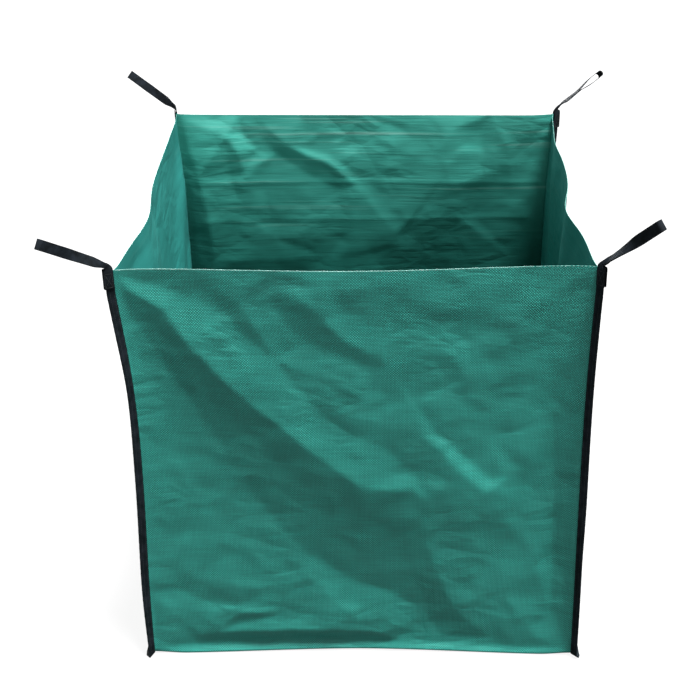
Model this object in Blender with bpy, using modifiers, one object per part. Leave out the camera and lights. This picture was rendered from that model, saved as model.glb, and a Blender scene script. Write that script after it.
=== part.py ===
"""Open-topped garden waste bag, sewn from woven tape fabric.

One long sheet makes the front wall, the base and the back wall. Two square
sheets close the sides. At each side the cut edges of both sheets are turned
out together as a narrow fin, and black tape is folded over the fin. A webbing
loop is sewn over the top of the fin at each of the four corners.

Metres, +Z up. The origin is on the floor, under the middle of the base. The
front wall faces -Y.
"""
import math

import bmesh
import bpy
from mathutils import Matrix, Vector

# Size of the bag, seam to seam
BAG_WIDTH = 0.900
BAG_DEPTH = 0.900
BAG_HEIGHT = 0.900

# Cloth, tape and webbing
FABRIC_THICKNESS = 0.0006
TAPE_THICKNESS = 0.0007
STRAP_THICKNESS = 0.0012
STRAP_WIDTH = 0.020
LAYER_GAP = 0.0003

# The fin: both sheets turned out at each side seam
FIN_FABRIC = 0.0180
TAPE_CLEAR_OF_WALL = 0.0018
STRAP_CLEAR_OF_WALL = 0.0023
EAR_REACH = 1.15
CORNER_FULLNESS = 0.0022

# Where the cloth meets the floor
SEAM_LIFT = 0.0050
FOLD_RADIUS = 0.0060
FLOOR_BLEND = 0.070
FOLD_ARCH = 0.0045
FOLD_RETREAT = 0.0120
RETREAT_HEIGHT = 0.130

# Slack cloth at the rim
RIM_SAG = 0.0040
RIM_BELLY = 0.0110
SAG_FROM = 0.80
TOP_RISE_FROM = 0.50
EDGE_BLEND = 0.040
BOW_SKEW = 1.55
FACET_FLANK = 3.2

# Lifting loops
LEG_LENGTH = 0.036
LEG_ZONE = 0.048
LOOP_REACH = 0.165
RISE_ABOVE_RIM = 0.0050
BEND_RADIUS = 0.0090
LOOP_GAPE = 0.0120

# Along a loop from its bend to its tip, as shares: where the two plies start to
# part and where they are fully parted, and where the strap has its whole width,
# its first twist and its last
PARTS_FROM = 0.42
PARTED_AT = 0.85
BEND_PINCH = 0.55
PINCH_ENDS = 0.20
BEND_TWIST = 0.40
FIRST_TWIST_AT = 0.15
LAST_TWIST_AT = 0.80

# Mesh steps
WALL_ROWS = 18
BASE_ROWS = 14
PANEL_COLUMNS = 21
LEG_STEPS = 3
BEND_STEPS = 5
REACH_STEPS = 12
TIP_STEPS = 5
CREASE_ANGLE = math.radians(50)

# Each corner of the bag. top_rise lifts its rim. foot_in and pull_in draw it
# towards the middle at the floor and part way up. fin_turns gives the fin's angle
# from the X axis at some shares of the height, and ear_turn gives it where the
# tape turns under at the floor. The loop's rise and twists are angles too, and
# loop_reach is its share of LOOP_REACH.
CORNERS = {
    "front_left": {
        "side": -1, "end": -1, "top_rise": 0.001, "foot_in": 0.009, "pull_in": 0.016,
        "fin_turns": ((0.0, 60), (0.24, 32), (0.50, 38), (0.72, 54), (0.93, 26)),
        "ear_turn": 63,
        "loop_rise": 32, "loop_reach": 0.985, "loop_twist": (36, 8),
    },
    "front_right": {
        "side": 1, "end": -1, "top_rise": 0.004, "foot_in": 0.006, "pull_in": 0.006,
        "fin_turns": ((0.0, 54), (0.25, 52), (0.45, 38), (0.80, 48), (0.93, 50)),
        "ear_turn": 38,
        "loop_rise": 42.5, "loop_reach": 1.0, "loop_twist": (61, 2),
    },
    "back_left": {
        "side": -1, "end": 1, "top_rise": 0.005, "foot_in": 0.008, "pull_in": 0.007,
        "fin_turns": ((0.0, 50), (0.50, 40), (0.93, 80)),
        "ear_turn": 45,
        "loop_rise": 14, "loop_reach": 1.06, "loop_twist": (-19, -40),
    },
    "back_right": {
        "side": 1, "end": 1, "top_rise": -0.003, "foot_in": 0.007, "pull_in": 0.009,
        "fin_turns": ((0.0, 50), (0.50, 46), (0.93, 44)),
        "ear_turn": 45,
        "loop_rise": 17, "loop_reach": 0.98, "loop_twist": (68, 50),
    },
}

# Folds pressed into each wall while the bag lay packed. Each runs between two
# points, given as shares of the wall across and up. Then come its half width at
# each end, its height and how far its middle bows upward, in metres. A facet is
# a flat strip that leans: its upper side stands out and its lower side sinks. A
# ridge stands out along its middle.
WALL_DISH = 0.0060
FRONT_FOLDS = (
    ("facet", (0.01, 0.985), (0.62, 0.17), (0.016, 0.125), 0.0165, -0.045),
    ("facet", (0.59, 0.44), (0.73, -0.02), (0.050, 0.045), 0.0060, 0.0),
    ("facet", (0.30, 0.97), (0.57, 0.79), (0.045, 0.045), 0.0030, 0.0),
    ("ridge", (0.00, 0.80), (0.00, 0.35), (0.060, 0.060), 0.0070, 0.0),
    ("ridge", (1.00, 1.00), (1.00, 0.05), (0.060, 0.060), 0.0080, 0.0),
)
BACK_FOLDS = (
    ("facet", (0.30, 1.00), (0.50, 0.62), (0.050, 0.070), 0.0080, 0.0),
    ("facet", (0.98, 0.95), (0.45, 0.25), (0.040, 0.100), -0.0110, 0.030),
    ("ridge", (0.15, 0.35), (0.55, 0.15), (0.080, 0.080), 0.0060, 0.0),
)
LEFT_FOLDS = (
    ("ridge", (0.28, 1.05), (0.32, 0.35), (0.140, 0.100), -0.0200, 0.0),
    ("facet", (0.95, 0.90), (0.35, 0.15), (0.030, 0.110), 0.0120, 0.030),
)
RIGHT_FOLDS = (
    ("ridge", (0.32, 1.05), (0.36, 0.45), (0.115, 0.090), -0.0230, 0.0),
    ("ridge", (0.79, 1.05), (0.70, 0.70), (0.085, 0.070), -0.0070, 0.0),
    ("facet", (0.05, 0.70), (0.65, 0.12), (0.030, 0.100), 0.0110, -0.030),
)

# Colours, as linear values
GREEN_FABRIC = (0.030, 0.180, 0.145, 1.0)
BLACK_TAPE = (0.007, 0.009, 0.011, 1.0)
BLACK_WEBBING = (0.010, 0.011, 0.013, 1.0)

# Half depth of the fin's layers, measured out from its middle
FABRIC_FACE = LAYER_GAP / 2 + FABRIC_THICKNESS
TAPE_INNER_FACE = FABRIC_FACE + LAYER_GAP
TAPE_OUTER_FACE = TAPE_INNER_FACE + TAPE_THICKNESS
STRAP_MIDDLE = TAPE_OUTER_FACE + LAYER_GAP + STRAP_THICKNESS / 2
FIN_REACH = FIN_FABRIC + LAYER_GAP + TAPE_THICKNESS
BASE_FIN_SINE = (SEAM_LIFT - TAPE_OUTER_FACE - LAYER_GAP) / FIN_REACH


def clear_scene():
    for old_object in list(bpy.data.objects):
        bpy.data.objects.remove(old_object, do_unlink=True)


def smooth(value):
    """Ease from 0 to 1."""
    value = min(max(value, 0.0), 1.0)
    return value * value * (3 - 2 * value)


def blend_between(pairs, share):
    """Read a smooth curve through (share, value) pairs."""
    if share <= pairs[0][0]:
        return pairs[0][1]
    for (low, low_value), (high, high_value) in zip(pairs, pairs[1:]):
        if share <= high:
            return low_value + (high_value - low_value) * smooth((share - low) / (high - low))
    return pairs[-1][1]


def principled(name, colour, roughness):
    material = bpy.data.materials.new(name)
    material.use_nodes = True
    shader = material.node_tree.nodes["Principled BSDF"]
    shader.inputs["Base Color"].default_value = colour
    shader.inputs["Roughness"].default_value = roughness
    shader.inputs["Metallic"].default_value = 0.0
    material.diffuse_color = colour
    return material


def corner_point(name, height):
    """A point on a corner's seam line, at a height above the floor."""
    corner = CORNERS[name]
    half_width = BAG_WIDTH / 2
    share = height / BAG_HEIGHT
    top_of_bow = 1 - LEG_ZONE / BAG_HEIGHT
    inward = corner["foot_in"] * (1 - share)
    if share < top_of_bow:
        inward += corner["pull_in"] * math.sin(math.pi * (share / top_of_bow) ** BOW_SKEW)
    lift = corner["top_rise"] * smooth((share - TOP_RISE_FROM) / (top_of_bow - TOP_RISE_FROM))
    x = corner["side"] * (half_width - inward)
    return Vector((x, corner["end"] * BAG_DEPTH / 2, height + lift))


def corner_fin(name, height):
    """The way the fin points at a height, level with the floor."""
    corner = CORNERS[name]
    turn = math.radians(blend_between(corner["fin_turns"], height / BAG_HEIGHT))
    return Vector((corner["side"] * math.cos(turn), corner["end"] * math.sin(turn), 0))


def wall_heights():
    """Heights of the wall's rows, from the rim down to the bottom fold."""
    lowest = SEAM_LIFT + FOLD_RADIUS
    leg_foot = BAG_HEIGHT - LEG_ZONE
    heights = [BAG_HEIGHT, BAG_HEIGHT - LEG_ZONE / 2]
    for step in range(WALL_ROWS + 1):
        heights.append(leg_foot + (lowest - leg_foot) * step / WALL_ROWS)
    return heights


def base_places():
    """Places of the base's rows along Y, from the front fold to the back fold."""
    reach = BAG_DEPTH / 2 - FOLD_RADIUS
    return [-reach + 2 * reach * step / BASE_ROWS for step in range(BASE_ROWS + 1)]


def base_fin(side):
    return Vector((side * math.sqrt(1 - BASE_FIN_SINE ** 2), 0, -BASE_FIN_SINE))


def fold_corner(name):
    """The seam's point and the fin's direction where the sheet folds under."""
    corner = CORNERS[name]
    foot = corner_point(name, SEAM_LIFT + FOLD_RADIUS)
    inset = FOLD_RADIUS * (1 - math.sqrt(0.5))
    point = Vector((foot.x, foot.y - corner["end"] * inset, SEAM_LIFT + inset))
    turn = math.radians(corner["ear_turn"])
    level = Vector((corner["side"] * math.cos(turn), corner["end"] * math.sin(turn), 0))
    fall = point.z - TAPE_OUTER_FACE - CORNER_FULLNESS - LAYER_GAP
    sine = fall / (FIN_REACH * EAR_REACH)
    fin = level * math.sqrt(1 - sine ** 2) - Vector((0, 0, sine))
    return point, fin * EAR_REACH


def seam_path(side):
    """Points and fin directions along one seam: down the front, back, and up."""
    front, back = ("front_left", "back_left") if side < 0 else ("front_right", "back_right")
    path = [(corner_point(front, height), corner_fin(front, height)) for height in wall_heights()]
    path.append(fold_corner(front))
    places = base_places()
    front_foot = corner_point(front, SEAM_LIFT + FOLD_RADIUS)
    back_foot = corner_point(back, SEAM_LIFT + FOLD_RADIUS)
    for place in places:
        share = (place - places[0]) / (places[-1] - places[0])
        x = front_foot.x + (back_foot.x - front_foot.x) * share
        path.append((Vector((x, place, SEAM_LIFT)), base_fin(side)))
    path.append(fold_corner(back))
    for height in reversed(wall_heights()):
        path.append((corner_point(back, height), corner_fin(back, height)))
    return path


def path_tangent(path, index):
    before = path[max(index - 1, 0)][0]
    after = path[min(index + 1, len(path) - 1)][0]
    return (after - before).normalized()


def fin_normal(path, index, side):
    """Square to the fin, on the long sheet's side of it."""
    return path[index][1].normalized().cross(path_tangent(path, index)).normalized() * -side


def fold_height(fold, place, width, height):
    """How far one fold stands out at a place on a wall."""
    kind, start, end, half_widths, size, bow = fold
    start = Vector((start[0] * width, start[1] * height))
    end = Vector((end[0] * width, end[1] * height))
    length = (end - start).length
    along = (end - start) / length
    square = Vector((-along.y, along.x))
    if square.y < 0:
        square.negate()
    run = (place - start).dot(along)
    share = min(max(run / length, 0.0), 1.0)
    half_width = half_widths[0] + (half_widths[1] - half_widths[0]) * share
    off = ((place - start).dot(square) - bow * math.sin(math.pi * share)) / half_width
    beyond = max(-run, run - length, 0.0)
    fade = math.exp(-(beyond / half_width) ** 2)
    if kind == "ridge":
        return size * fade * math.exp(-off * off)
    lean = off / (1 + off ** 4) ** 0.25 * math.exp(-(off / FACET_FLANK) ** 2)
    return size * fade * lean * half_width / half_widths[1]


def relief(folds, across, up, width, height):
    """How far a wall stands out at a place, from the folds pressed into it."""
    place = Vector((across * width, up * height))
    total = -WALL_DISH
    for fold in folds:
        total += fold_height(fold, place, width, height)
    near_edge = min(across, 1 - across) * width
    near_floor = up * height
    return total * smooth(near_edge / EDGE_BLEND) * smooth(near_floor / EDGE_BLEND)


def sheet_point(left, right, share, end, folds):
    """A point of the long sheet between its two seams."""
    point = left.lerp(right, share)
    near_seam = min(share, 1 - share) * (right.x - left.x)
    middle = smooth(near_seam / (BAG_WIDTH / 2))
    up = max(point.z - SEAM_LIFT, 0.0) / (BAG_HEIGHT - SEAM_LIFT)
    drop = SEAM_LIFT - FABRIC_THICKNESS - FOLD_ARCH * middle
    drop *= smooth(near_seam / FLOOR_BLEND)
    if end:
        outward = relief(folds, share, up, BAG_WIDTH, BAG_HEIGHT)
        outward += RIM_BELLY * middle * smooth(up)
        outward -= FOLD_RETREAT * middle * math.exp(-up * BAG_HEIGHT / RETREAT_HEIGHT)
        point.y += end * outward
        point.z -= drop * smooth(1 - up * BAG_HEIGHT / FLOOR_BLEND)
        point.z -= RIM_SAG * middle * smooth((up - SAG_FROM) / (1 - SAG_FROM))
    else:
        inside = BAG_DEPTH / 2 - abs(point.y)
        arch = FOLD_ARCH * middle * smooth(near_seam / FLOOR_BLEND)
        point.z -= drop + arch * smooth(inside / FLOOR_BLEND)
        retreat = FOLD_RETREAT * middle * (1 - smooth(inside / FLOOR_BLEND))
        point.y -= math.copysign(retreat, point.y)
    return point


def triangulate_sheet(bm, fin_cells):
    """Split the fin's cells one way, so that layers there lie face to face."""
    for near, far in fin_cells:
        shared = [face for face in near.link_faces if face in far.link_faces]
        bmesh.utils.face_split(shared[0], near, far)
    open_faces = [face for face in bm.faces if len(face.verts) > 3]
    bmesh.ops.triangulate(bm, faces=open_faces, quad_method="SHORT_EDGE")


def turn_out_fin(bm, seam_verts, path, side, face_side):
    """Grow the sheet's edge out along the fin and split its cells."""
    seam_edges = []
    for first, second in zip(seam_verts, seam_verts[1:]):
        seam_edges.append(bm.edges.get((first, second)))
    grown = bmesh.ops.extrude_edge_only(bm, edges=seam_edges)["geom"]
    grown_verts = {item for item in grown if isinstance(item, bmesh.types.BMVert)}
    outer_verts = []
    for vert in seam_verts:
        neighbours = [edge.other_vert(vert) for edge in vert.link_edges]
        outer_verts.append([other for other in neighbours if other in grown_verts][0])
    cells = []
    for index, (point, fin) in enumerate(path):
        lift = fin_normal(path, index, side) * (LAYER_GAP / 2 * face_side)
        seam_verts[index].co = point + lift
        outer_verts[index].co = point + fin * FIN_FABRIC + lift
        if index + 1 < len(path):
            cells.append((seam_verts[index], outer_verts[index + 1]))
    return cells


def finish_piece(name, bm, thickness, offset, material, collection):
    """Turn a sheet into a closed solid of even thickness."""
    mesh = bpy.data.meshes.new(name)
    bm.to_mesh(mesh)
    bm.free()
    mesh.materials.append(material)
    mesh.shade_smooth()
    mesh.set_sharp_from_angle(angle=CREASE_ANGLE)
    piece = bpy.data.objects.new(name, mesh)
    collection.objects.link(piece)
    solidify = piece.modifiers.new("Thickness", "SOLIDIFY")
    solidify.thickness = thickness
    solidify.offset = offset
    solidify.use_even_offset = True
    return piece


def grid_of_verts(columns, rows):
    """A plain grid, with its vertices as grid[row][column]."""
    bm = bmesh.new()
    bmesh.ops.create_grid(bm, x_segments=columns, y_segments=rows, size=0.5)
    bm.verts.ensure_lookup_table()
    grid = []
    for row in range(rows + 1):
        grid.append([bm.verts[row * (columns + 1) + column] for column in range(columns + 1)])
    return bm, grid


def face_outward(bm, probe, outward):
    """Flip the sheet if the face at a vertex doesn't look outward."""
    bm.normal_update()
    normal = Vector((0, 0, 0))
    for face in probe.link_faces:
        normal += face.normal
    if normal.dot(outward) < 0:
        bmesh.ops.reverse_faces(bm, faces=bm.faces[:])


def make_main_sheet(material, collection):
    """The front wall, base and back wall in one length of cloth."""
    left_path = seam_path(-1)
    right_path = seam_path(1)
    wall_count = len(wall_heights())
    rows = len(left_path) - 1
    bm, grid = grid_of_verts(PANEL_COLUMNS, rows)
    for row in range(rows + 1):
        left = left_path[row][0]
        right = right_path[row][0]
        end = 0
        folds = ()
        if row < wall_count:
            end, folds = -1, FRONT_FOLDS
        elif row > rows - wall_count:
            end, folds = 1, BACK_FOLDS
        for column in range(PANEL_COLUMNS + 1):
            share = column / PANEL_COLUMNS
            grid[row][column].co = sheet_point(left, right, share, end, folds)
    left_edge = [grid[row][0] for row in range(rows + 1)]
    right_edge = [grid[row][PANEL_COLUMNS] for row in range(rows + 1)]
    cells = turn_out_fin(bm, left_edge, left_path, -1, 1)
    cells += turn_out_fin(bm, right_edge, right_path, 1, 1)
    face_outward(bm, grid[WALL_ROWS // 2][PANEL_COLUMNS // 2], Vector((0, -1, 0)))
    triangulate_sheet(bm, cells)
    return finish_piece("front_base_back_sheet", bm, FABRIC_THICKNESS, 1, material, collection)


def make_side_panel(side, name, folds, material, collection):
    """A square sheet, sewn in along its front, bottom and back edges."""
    path = seam_path(side)
    wall_count = len(wall_heights())
    front_run = path[:wall_count + 1]
    base_run = path[wall_count:len(path) - wall_count]
    back_run = path[len(path) - wall_count - 1:]
    columns = len(base_run) - 1
    rows = len(front_run) - 1
    bm, grid = grid_of_verts(columns, rows)
    for row in range(rows + 1):
        front = front_run[rows - row][0]
        back = back_run[row][0]
        up = (front.z - SEAM_LIFT) / (BAG_HEIGHT - SEAM_LIFT)
        for column in range(columns + 1):
            if row == 0:
                grid[row][column].co = base_run[column][0]
                continue
            across = (base_run[column][0].y + BAG_DEPTH / 2) / BAG_DEPTH
            if column in (0, columns):
                across = column / columns
            point = front.lerp(back, across)
            middle = smooth(min(across, 1 - across) * 2)
            point.x += side * relief(folds, across, up, BAG_DEPTH, BAG_HEIGHT)
            point.z -= RIM_SAG * middle * smooth((up - SAG_FROM) / (1 - SAG_FROM))
            grid[row][column].co = point
    seam = [grid[row][0] for row in range(rows, 0, -1)]
    seam += [grid[0][column] for column in range(columns + 1)]
    seam += [grid[row][columns] for row in range(1, rows + 1)]
    cells = turn_out_fin(bm, seam, path, side, -1)
    face_outward(bm, grid[rows // 2][columns // 2], Vector((side, 0, 0)))
    triangulate_sheet(bm, cells)
    return finish_piece(name, bm, FABRIC_THICKNESS, 1, material, collection)


def make_seam_binding(side, name, material, collection):
    """Tape folded over the fin, from the front rim round to the back rim."""
    path = seam_path(side)
    rows = len(path) - 1
    front_corner = len(wall_heights())
    bm, grid = grid_of_verts(3, rows)
    inner_edge = FIN_FABRIC + LAYER_GAP
    profile = ((TAPE_CLEAR_OF_WALL, 1), (inner_edge, 1), (inner_edge, -1), (TAPE_CLEAR_OF_WALL, -1))
    cells = []
    for row, (point, fin) in enumerate(path):
        normal = fin_normal(path, row, side)
        half = TAPE_INNER_FACE
        if row in (front_corner, rows - front_corner):
            half += CORNER_FULLNESS
        for column, (out, face) in enumerate(profile):
            grid[row][column].co = point + fin * out + normal * (half * face)
        if row < rows:
            cells.append((grid[row][0], grid[row + 1][1]))
            cells.append((grid[row][3], grid[row + 1][2]))
    probe_row = WALL_ROWS // 2
    face_outward(bm, grid[probe_row][0], fin_normal(path, probe_row, side))
    triangulate_sheet(bm, cells)
    return finish_piece(name, bm, TAPE_THICKNESS, 1, material, collection)


def loop_stations(name):
    """Stations of the folded strap, root to tip.

    Each gives the middle between the plies, the way the strap's width points,
    half the distance between the plies, the width's share and the twist.
    """
    corner = CORNERS[name]
    top = corner_point(name, BAG_HEIGHT)
    foot = corner_point(name, BAG_HEIGHT - LEG_LENGTH)
    fin = corner_fin(name, BAG_HEIGHT)
    up = (top - foot).normalized()
    level = Vector((corner["side"], corner["end"], 0)).normalized()
    middle_of_strap = STRAP_CLEAR_OF_WALL + STRAP_WIDTH / 2
    closed_half = LAYER_GAP / 2 + STRAP_THICKNESS / 2
    open_half = LOOP_GAPE / 2 + STRAP_THICKNESS / 2
    turn = math.pi / 2 - math.radians(corner["loop_rise"])
    first_twist, last_twist = corner["loop_twist"]
    pinches = ((0.0, BEND_PINCH), (PINCH_ENDS, 1.0))
    twists = ((0.0, first_twist * BEND_TWIST), (FIRST_TWIST_AT, first_twist), (LAST_TWIST_AT, last_twist))
    gaps = ((PARTS_FROM, closed_half), (PARTED_AT, open_half))
    stations = []
    for step in range(LEG_STEPS + 1):
        spot = foot.lerp(top, step / LEG_STEPS) + fin * middle_of_strap
        stations.append((spot, fin, STRAP_MIDDLE, 1.0, 0.0))
    start = stations[-1][0] + up * RISE_ABOVE_RIM
    stations.append((start, fin, STRAP_MIDDLE, 1.0, 0.0))
    for step in range(1, BEND_STEPS + 1):
        share = step / BEND_STEPS
        angle = turn * share
        spot = start + level * (BEND_RADIUS * (1 - math.cos(angle)))
        spot = spot + Vector((0, 0, BEND_RADIUS * math.sin(angle)))
        heading = level * math.sin(angle) + Vector((0, 0, math.cos(angle)))
        width_way = level * math.cos(angle) - Vector((0, 0, math.sin(angle)))
        width_way = width_way.lerp(fin, 1 - share)
        half = STRAP_MIDDLE + (closed_half - STRAP_MIDDLE) * smooth(share)
        pinch = 1 - (1 - BEND_PINCH) * math.sin(math.pi * share / 2)
        stations.append((spot, width_way, half, pinch, first_twist * BEND_TWIST * smooth(share)))
    root = stations[-1][0]
    flat_way = stations[-1][1]
    straight = corner["loop_reach"] * LOOP_REACH - open_half
    for step in range(1, REACH_STEPS + 1):
        share = step / REACH_STEPS
        spot = root + heading * (straight * share)
        half = blend_between(gaps, share)
        pinch = blend_between(pinches, share)
        stations.append((spot, flat_way, half, pinch, blend_between(twists, share)))
    for step in range(1, TIP_STEPS + 1):
        angle = math.pi / 2 * step / TIP_STEPS
        spot = root + heading * (straight + open_half * math.sin(angle))
        stations.append((spot, flat_way, open_half * math.cos(angle), 1.0, last_twist))
    return stations


def make_loop(corner_name, material, collection):
    """One strap, folded in half at the tip, with an end on each face of the fin."""
    side = CORNERS[corner_name]["side"]
    end = CORNERS[corner_name]["end"]
    stations = loop_stations(corner_name)
    spots = [station[0] for station in stations]
    frames = []
    for index, (spot, width_way, half, pinch, twist) in enumerate(stations):
        before = spots[max(index - 1, 0)]
        after = spots[min(index + 1, len(spots) - 1)]
        heading = (after - before).normalized()
        across = (width_way - heading * width_way.dot(heading)).normalized()
        across = Matrix.Rotation(math.radians(twist * side * end), 3, heading) @ across
        frames.append((spot, across, heading.cross(across).normalized(), half, pinch))
    strip = list(frames)
    for spot, across, facing, half, pinch in reversed(frames[:-1]):
        strip.append((spot, across, facing, -half, pinch))
    rows = len(strip) - 1
    bm, grid = grid_of_verts(2, rows)
    for row, (spot, across, facing, half, pinch) in enumerate(strip):
        for column in range(3):
            reach = (column - 1) * STRAP_WIDTH / 2 * pinch
            grid[row][column].co = spot + across * reach + facing * half
    triangulate_sheet(bm, [])
    node_name = corner_name + "_loop"
    return finish_piece(node_name, bm, STRAP_THICKNESS, 0, material, collection)


def build():
    clear_scene()
    collection = bpy.data.collections.new("garden_waste_bag")
    bpy.context.scene.collection.children.link(collection)
    fabric = principled("green_woven_fabric", GREEN_FABRIC, 0.55)
    tape = principled("black_binding_tape", BLACK_TAPE, 0.75)
    webbing = principled("black_webbing", BLACK_WEBBING, 0.7)
    make_main_sheet(fabric, collection)
    make_side_panel(-1, "left_side_panel", LEFT_FOLDS, fabric, collection)
    make_side_panel(1, "right_side_panel", RIGHT_FOLDS, fabric, collection)
    make_seam_binding(-1, "left_seam_binding", tape, collection)
    make_seam_binding(1, "right_seam_binding", tape, collection)
    for corner_name in CORNERS:
        make_loop(corner_name, webbing, collection)


build()
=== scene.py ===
import math

import bpy
import numpy as np
from mathutils import Matrix, Vector
from mathutils.geometry import delaunay_2d_cdt


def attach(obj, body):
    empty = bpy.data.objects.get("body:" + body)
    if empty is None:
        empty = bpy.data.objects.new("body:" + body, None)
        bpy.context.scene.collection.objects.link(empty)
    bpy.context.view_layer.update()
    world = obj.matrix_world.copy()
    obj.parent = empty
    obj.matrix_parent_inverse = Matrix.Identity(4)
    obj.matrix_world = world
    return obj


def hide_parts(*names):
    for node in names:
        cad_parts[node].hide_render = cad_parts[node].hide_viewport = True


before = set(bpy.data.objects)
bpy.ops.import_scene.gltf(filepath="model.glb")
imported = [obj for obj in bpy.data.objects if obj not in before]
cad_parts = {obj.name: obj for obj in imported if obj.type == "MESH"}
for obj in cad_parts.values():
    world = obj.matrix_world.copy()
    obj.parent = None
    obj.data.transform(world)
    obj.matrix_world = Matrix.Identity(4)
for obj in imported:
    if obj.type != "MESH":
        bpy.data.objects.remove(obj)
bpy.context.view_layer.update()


# Front wall, base and back wall
# One length of woven polypropylene tape cloth, 0.94 m wide and 2.7 m long. Its
# outside is the bare weave and its inside has a thin coating. The long edges are
# turned out at the side seams, and the two ends are the selvedges at the rim.
BAG_WIDTH = 0.900
BAG_DEPTH = 0.900
BAG_HEIGHT = 0.900
CLOTH_THICKNESS = 0.0006
LAYER_GAP = 0.0003
FIN_CLOTH = 0.0175
SEAM_LIFT = 0.0050
FOLD_RADIUS = 0.0060
FLOOR_BLEND = 0.070
FOLD_ARCH = 0.0045
FOLD_RETREAT = 0.0120
RETREAT_HEIGHT = 0.130
RIM_SAG = 0.0040
RIM_BELLY = 0.0110
SAG_FROM = 0.80
TOP_RISE_FROM = 0.50
LEG_ZONE = 0.048
BOW_SKEW = 1.55
WALL_DISH = 0.0065
DISH_WIDTH = 0.030
EDGE_BLEND = 0.020
TAPE_OUTER_FACE = 0.00175
FIN_REACH = 0.0190
SHARP_CREASE = math.radians(55)
# At a bottom corner the fin points out as an ear: its reach at the point and beside
# it, above and below, as shares of the fin's own, and how far it dips
EAR_REACH = 1.15
EAR_SHOULDERS = (1.06, 1.08)
EAR_DIP = 0.12

# Each corner as it stands: how far its rim rises, how far its foot and its middle
# are drawn in, how the fin turns with height and how it points at the floor
CORNERS = {
    "front_left": {
        "side": -1, "end": -1, "top_rise": 0.001, "foot_in": 0.009, "pull_in": 0.016,
        "fin_turns": ((0.0, 60), (0.24, 32), (0.50, 38), (0.72, 54), (0.93, 26)), "ear_turn": 63,
    },
    "front_right": {
        "side": 1, "end": -1, "top_rise": 0.004, "foot_in": 0.006, "pull_in": 0.006,
        "fin_turns": ((0.0, 54), (0.25, 52), (0.45, 38), (0.80, 48), (0.93, 50)), "ear_turn": 38,
    },
    "back_left": {
        "side": -1, "end": 1, "top_rise": 0.005, "foot_in": 0.008, "pull_in": 0.007,
        "fin_turns": ((0.0, 50), (0.50, 40), (0.93, 80)), "ear_turn": 45,
    },
    "back_right": {
        "side": 1, "end": 1, "top_rise": -0.003, "foot_in": 0.007, "pull_in": 0.009,
        "fin_turns": ((0.0, 50), (0.50, 46), (0.93, 44)), "ear_turn": 45,
    },
}

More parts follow.
